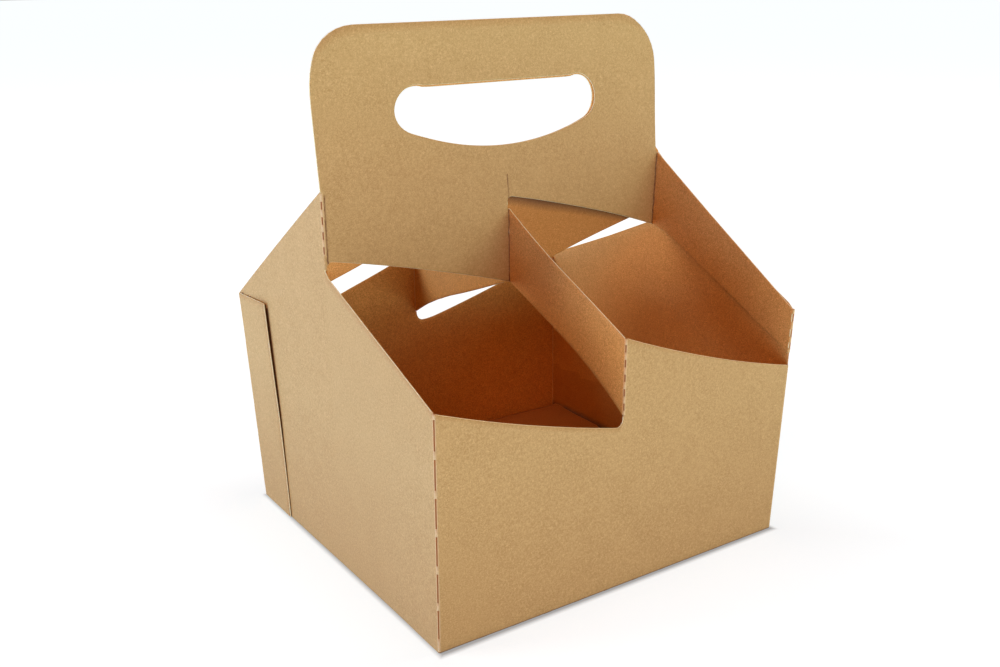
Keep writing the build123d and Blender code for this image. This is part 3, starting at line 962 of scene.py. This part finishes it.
class Nodes:
    """Short calls for a material's node tree."""

    def __init__(self, name):
        self.material = bpy.data.materials.new(name)
        self.material.use_nodes = True
        self.tree = self.material.node_tree
        self.shader = self.tree.nodes["Principled BSDF"]
        self.place = self.add("ShaderNodeTexCoord").outputs["Object"]

    def add(self, kind, inputs=None, **settings):
        """A node with its settings and with values or links at its inputs."""
        node = self.tree.nodes.new(kind)
        for name, value in settings.items():
            setattr(node, name, value)
        for name, value in (inputs or {}).items():
            self.join(value, node.inputs[name])
        return node

    def join(self, value, socket):
        """Links a socket to another one, or sets it to a value."""
        if isinstance(value, bpy.types.NodeSocket):
            self.tree.links.new(value, socket)
        else:
            socket.default_value = value

    def painted(self, **inputs):
        """Joins the shader's sockets, which are named with _ for a space, and gives the material."""
        for name, value in inputs.items():
            self.join(value, self.shader.inputs[name.replace("_", " ")])
        return self.material

    def share(self, name):
        """A value that the mesh holds for each point."""
        return self.add("ShaderNodeAttribute", attribute_name=name).outputs["Fac"]

    def noise(self, scale, detail, rough):
        """Noise from 0 to 1 over the object's own coordinates."""
        node = self.add("ShaderNodeTexNoise", {
            "Vector": self.place, "Scale": scale, "Detail": detail, "Roughness": rough})
        return node.outputs["Fac"]

    def stretch(self, value, low, high, to_low=0.0, to_high=1.0):
        """A value's range from low to high carried onto another range, and held at its ends."""
        node = self.add("ShaderNodeMapRange", {
            "Value": value, "From Min": low, "From Max": high, "To Min": to_low, "To Max": to_high})
        return node.outputs["Result"]

    def math(self, a, b, operation):
        """A sum, product or other result of two values."""
        return self.add("ShaderNodeMath", {0: a, 1: b}, operation=operation).outputs[0]

    def mix(self, factor, a, b, blend="MIX"):
        """Colour a where the factor is 0 and b, or the blend of both, where it is 1."""
        node = self.add("ShaderNodeMix", data_type="RGBA", blend_type=blend)
        self.join(factor, node.inputs[0])
        self.join(a, node.inputs[6])
        self.join(b, node.inputs[7])
        return node.outputs[2]

    def over(self, tone, share, strength, colour):
        """A tone under a colour that covers it by a share times a strength."""
        return self.mix(self.stretch(share, 0, 1, 0, strength), tone, colour)

    def tint(self, tone, colour):
        """A tone multiplied by a colour."""
        return self.mix(1.0, tone, colour, "MULTIPLY")

    def bump(self, height, strength, distance):
        """A normal that is bent by the slopes of a height, in metres at full strength."""
        node = self.add("ShaderNodeBump", {"Height": height, "Strength": strength, "Distance": distance})
        return node.outputs["Normal"]


def kraft_face():
    """Both faces of the card: brown pulp with fine mottling, soft clouds and rare dark specks.

    Painted shade makes the inner side and the straps deeper, and on the outside painted shade darkens the
    lowest part and a painted sheen pales the highest part. Shade gathers in the gaps. Folds with slits are
    pale, the foot is dark, and painted shade darkens the straps' creases.
    """
    m = Nodes("kraft_card_face")
    clouds = m.stretch(m.noise(*CLOUD_NOISE), 0.3, 0.7)
    mottle = m.stretch(m.noise(*MOTTLE_NOISE), 0.3, 0.7)
    grain = m.stretch(m.noise(*GRAIN_NOISE), 0.3, 0.7)
    tone = m.mix(mottle, DARK_PULP, PALE_PULP)
    tone = m.over(tone, grain, 0.85, GRAIN)
    tone = m.over(tone, clouds, 0.2, CLOUD)
    height = m.add("ShaderNodeSeparateXYZ", {0: m.place}).outputs["Z"]
    # Painted shade darkens the outside towards the table, and a painted sheen pales it on the handle
    outer = m.mix(m.stretch(height, 0.01, 0.08, 1, 0), tone, m.tint(tone, LOW_SHADE_TINT))
    outer = m.mix(m.stretch(height, 0.19, 0.25, 0, 1), outer, m.tint(outer, HIGH_SHEEN_TINT))
    # Painted shade of the tray's inside, deeper and redder, on the inner side and the straps
    inner = m.tint(tone, m.mix(grain, TRAY_SHADE_TINT, TRAY_SHADE_GRAIN_TINT))
    tone = m.mix(m.share("painted_tray_shade"), outer, inner)
    gap = m.share("from_gap")
    tone = m.mix(m.stretch(gap, 0, 0.06, 0.5, 0), tone, WIDE_SHADE)
    tone = m.mix(m.stretch(gap, 0, 0.005, 0.85, 0), tone, NARROW_SHADE)
    tone = m.over(tone, m.share("on_cut_fold"), 0.45, WORN_FOLD)
    tone = m.over(tone, m.share("on_base_fold"), 0.9, SCUFFED_FOOT)
    # Painted shade along the straps' creases, broken by noise
    broken = m.stretch(m.noise(*CREASE_NOISE), 0.42, 0.58, 0.6, 0.95)
    tone = m.mix(m.math(m.share("on_strap_crease"), broken, "MULTIPLY"), tone, CREASE_SHADE)
    speck = m.add("ShaderNodeTexVoronoi", {"Vector": m.place, "Scale": 150.0, "Randomness": 1.0})
    dot = m.stretch(speck.outputs["Distance"], 0.03, 0.07, 1, 0)
    rare = m.stretch(m.noise(*SPECK_NOISE), 0.62, 0.68)
    tone = m.over(tone, m.math(dot, rare, "MULTIPLY"), 0.6, SPECK)
    rough = m.stretch(grain, 0, 1, 0.6, 0.74)
    bumps = m.bump(m.mix(0.5, grain, mottle), 0.3, 0.12 * MM)
    return m.painted(Base_Color=tone, Roughness=rough, Specular_IOR_Level=0.5, Normal=bumps)


def cut_edge():
    """Cut edge of the card: open pulp, paler by a painted highlight where it is free, and darkened by
    painted shade inside the slits of the folds.
    """
    m = Nodes("kraft_card_cut_edge")
    ragged = m.stretch(m.noise(*EDGE_NOISE), 0.3, 0.7)
    # Open pulp with a painted highlight where the edge is free, and painted shade inside the slits
    tone = m.mix(m.share("on_cut_fold"), m.mix(ragged, BARE_PULP_AND_HIGHLIGHT, PALE_BARE_PULP_AND_HIGHLIGHT), SLIT_SHADE)
    bumps = m.bump(ragged, 0.5, 0.1 * MM)
    return m.painted(Base_Color=tone, Roughness=0.85, Specular_IOR_Level=0.2, Normal=bumps)


def pale_floor():
    """White studio floor that glows, as one lit from below does.

    Painted shadow makes the glow a little less under and round the carrier, by the distance beyond its
    footprint, and darkens the floor's colour at the contact. The glow whitens with the distance from the
    middle, so that painted shade leaves it dimmer near the carrier.
    """
    m = Nodes("studio_white")
    away = m.add("ShaderNodeVectorMath", {0: m.place}, operation="LENGTH").outputs["Value"]
    away = m.add("ShaderNodeMapRange", {"Value": away, "From Min": 0.12, "From Max": 0.6},
                 interpolation_type="SMOOTHSTEP").outputs["Result"]
    beyond = m.place
    steps = (("SUBTRACT", SHADE_LEAN), ("ABSOLUTE", (0, 0, 0)), ("SUBTRACT", HALF_FOOTPRINT))
    for operation, value in steps:
        beyond = m.add("ShaderNodeVectorMath", {0: beyond, 1: value}, operation=operation).outputs["Vector"]
    beyond = m.add("ShaderNodeSeparateXYZ", {0: beyond}).outputs
    beyond = m.math(beyond["X"], beyond["Y"], "MAXIMUM")
    # Painted contact shadow at the carrier's foot and a wider painted shadow round it, by the distance
    # beyond its footprint
    contact_shadow = m.stretch(beyond, 0, 0.003, 0.4, 1)
    around_shadow = m.stretch(beyond, 0, 0.06, 0.9, 1)
    m.painted(
        Emission_Color=m.mix(away, NEAR_SHADED_GLOW, FAR_GLOW),
        Emission_Strength=m.math(contact_shadow, around_shadow, "MULTIPLY"),
        Base_Color=m.mix(contact_shadow, CONTACT_SHADOW_TONE, FLOOR_WHITE), Roughness=0.9, Specular_IOR_Level=0.1)
    half = FLOOR_SIZE / 2
    corners = [(-half, -half, 0), (half, -half, 0), (half, half, 0), (-half, half, 0)]
    mesh = bpy.data.meshes.new("studio_floor")
    mesh.from_pydata(corners, [], [(0, 1, 2, 3)])
    mesh.materials.append(m.material)
    floor = bpy.data.objects.new("studio_floor", mesh)
    bpy.context.scene.collection.objects.link(floor)


def studio_light():
    """Large soft panels round the carrier, in dim warm air.

    Each has a place, the point it faces, its width and height, its power and its colour.
    """
    world = bpy.data.worlds.new("studio_air")
    world.use_nodes = True
    world.node_tree.nodes["Background"].inputs["Color"].default_value = WARM_AIR
    bpy.context.scene.world = world
    middle = (0.0, 0.0, 0.1)
    lights = (
        ("front_left_high", (-1.3, -1.5, 1.3), middle, 1.0, 1.0, 12.0, (1.0, 0.3, 0.1)),
        ("left_back", (-1.9, 1.1, 0.8), middle, 1.0, 1.0, 24.0, (1.0, 0.95, 0.89)),
        ("left_low", (-1.5, 0.1, 0.06), (0.0, 0.1, 0.06), 2.0, 0.1, 9.0, (0.02, 0.41, 1.0)),
        ("overhead", (0.05, -0.05, 2.3), middle, 1.0, 1.0, 5.3, (1.0, 0.4, 0.36)),
        ("right_high", (1.8, -0.4, 1.4), middle, 1.0, 1.0, 9.9, (1.0, 0.9, 0.82)),
        ("front_low", (0.65, -1.9, 0.22), (0.0, 0.0, 0.22), 1.4, 0.3, 10.8, (0.85, 1.0, 0.85)),
    )
    for name, place, target, width, height, power, colour in lights:
        lamp = bpy.data.lights.new(name, "AREA")
        lamp.shape = "RECTANGLE"
        lamp.size = width
        lamp.size_y = height
        lamp.energy = power
        lamp.color = colour
        held = bpy.data.objects.new(name, lamp)
        bpy.context.scene.collection.objects.link(held)
        aim = np.array(target) - place
        aim = aim / np.linalg.norm(aim)
        side = np.cross(aim, (0, 0, 1))
        side = side / np.linalg.norm(side)
        turn = np.stack([side, np.cross(side, aim), -aim], axis=1)
        held.matrix_world = Matrix.Translation(place) @ Matrix(turn.tolist()).to_4x4()


def camera():
    """Camera at the photograph's viewing angle, from a yaw, a pitch and a roll in radians."""
    place = (-0.3059, -0.4524, 0.2737)
    yaw, pitch, roll = 0.5882, 0.3019, 0.0117
    ahead = np.array([math.sin(yaw) * math.cos(pitch), math.cos(yaw) * math.cos(pitch), -math.sin(pitch)])
    level = np.array([math.cos(yaw), -math.sin(yaw), 0])
    down = np.cross(ahead, level)
    right = math.cos(roll) * level + math.sin(roll) * down
    down = -math.sin(roll) * level + math.cos(roll) * down
    lens = bpy.data.cameras.new("studio_camera")
    lens.lens = 39.974
    lens.sensor_width = 36.0
    lens.shift_x = -0.0003
    lens.shift_y = -0.0049
    lens.clip_start = 0.01
    held = bpy.data.objects.new("studio_camera", lens)
    bpy.context.scene.collection.objects.link(held)
    turn = np.stack([right, -down, -ahead], axis=1)
    held.matrix_world = Matrix.Translation(place) @ Matrix(turn.tolist()).to_4x4()
    bpy.context.scene.camera = held


carrier = build_carrier()
carrier.data.materials.append(kraft_face())
carrier.data.materials.append(cut_edge())
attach(carrier, "root")
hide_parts("cup_carrier")

pale_floor()
studio_light()
camera()
bpy.context.scene.view_settings.view_transform = "Standard"
